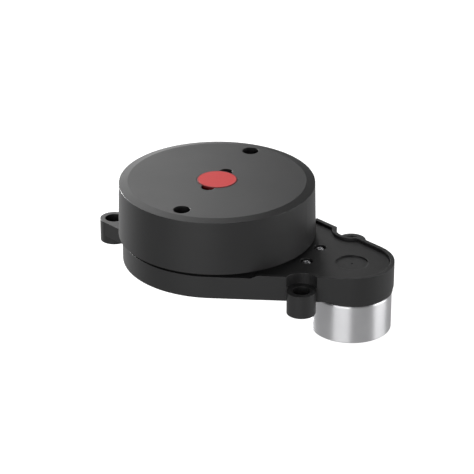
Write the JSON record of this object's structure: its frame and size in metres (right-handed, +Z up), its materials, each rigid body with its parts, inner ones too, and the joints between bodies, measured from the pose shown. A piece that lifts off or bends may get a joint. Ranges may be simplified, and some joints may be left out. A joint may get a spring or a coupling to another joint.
{
  "type": "lidar scanner module",
  "caption": "Belt-driven spinning laser range finder: a round bevelled head turns on a bowl-shaped base with mounting ears and a side motor.",
  "frame": {"origin": "where the head's axis meets the plane of the mounting ears' lower faces", "axes": "+Z up along the head's axis, +X from the head's axis towards the motor's axis"},
  "size_m": [0.1288, 0.079, 0.0539],
  "materials": {
    "base_plastic": "fine-textured moulded charcoal plastic",
    "head_plastic": "fine-textured moulded grey plastic",
    "dark_plastic": "smooth black moulded plastic",
    "badge_red": "printed vinyl disc",
    "motor_steel": "bright plated drawn steel",
    "screw_steel": "plated steel",
    "bearing_steel": "ground bearing steel",
    "belt_rubber": "smooth round rubber belt",
    "board_green": "green solder mask on glass laminate",
    "chip_black": "moulded epoxy packages",
    "connector_cream": "cream nylon",
    "pin_brass": "tinned brass",
    "ferrite_grey": "sintered ferrite",
    "coil_copper": "enamelled copper wire",
    "lamp_clear": "clear epoxy lens",
    "nylon_white": "natural nylon",
    "bronze": "sintered oiled bronze",
    "core_steel": "laminated electrical steel",
    "lead_red": "soft wire insulation",
    "optic_glass": "coated lens glass",
    "window_red": "dark red filter plastic",
    "cage_resin": "heat-stabilised resin"
  },
  "bodies": {
    "base": {"base_housing": "base_plastic", "belt_cover": "base_plastic", "belt_cover_screws": "screw_steel", "bottom_cover": "dark_plastic", "bottom_cover_screws": "screw_steel", "base_board": "board_green", "base_board_chips": "chip_black", "connector_header": "connector_cream", "connector_pins": "pin_brass", "stator_ferrite": "ferrite_grey", "stator_coil": "coil_copper", "data_emitter": "lamp_clear", "encoder_ring": "dark_plastic", "bearing_outer_race": "bearing_steel", "motor_can": "motor_steel", "motor_magnets": "ferrite_grey", "motor_end_cap": "nylon_white", "motor_brushes": "pin_brass", "motor_terminals": "pin_brass", "motor_bushes": "bronze", "motor_screws": "screw_steel", "motor_leads": "lead_red", "drive_belt": "belt_rubber"},
    "ball_cage": {"bearing_balls": "bearing_steel", "bearing_cage": "cage_resin"},
    "motor_rotor": {"motor_shaft": "bearing_steel", "motor_pulley": "nylon_white", "motor_core": "core_steel", "motor_windings": "coil_copper", "motor_commutator": "coil_copper"},
    "head": {"turntable": "dark_plastic", "bearing_inner_race": "bearing_steel", "hub_clip": "screw_steel", "rotor_ferrite": "ferrite_grey", "rotor_coil": "coil_copper", "data_receiver": "chip_black", "slot_sensor": "chip_black", "head_board": "board_green", "head_board_chips": "chip_black", "head_board_screws": "screw_steel", "optics_frame": "dark_plastic", "optics_frame_screws": "screw_steel", "laser_barrel": "pin_brass", "laser_lens": "optic_glass", "laser_diode": "pin_brass", "lens_barrel": "dark_plastic", "lens_glass": "optic_glass", "image_sensor": "board_green", "laser_window": "window_red", "lens_window": "window_red", "head_cover": "head_plastic", "head_screws": "screw_steel", "head_badge": "badge_red"}
  },
  "joints": [
    {"name": "head_spin", "type": "hinge", "parent": "base", "child": "head", "pos_m": [0, 0, 0.0102], "axis": [0, 0, 1], "continuous": true},
    {"name": "motor_spin", "type": "hinge", "parent": "base", "child": "motor_rotor", "pos_m": [0.0586, 0, 0], "axis": [0, 0, 1], "continuous": true},
    {"name": "cage_spin", "type": "hinge", "parent": "base", "child": "ball_cage", "pos_m": [0, 0, 0.0102], "axis": [0, 0, 1], "continuous": true}
  ],
  "couplings": [
    {"joint": "motor_spin", "follows": "head_spin", "ratio": 8},
    {"joint": "cage_spin", "follows": "head_spin", "ratio": 0.4586}
  ]
}
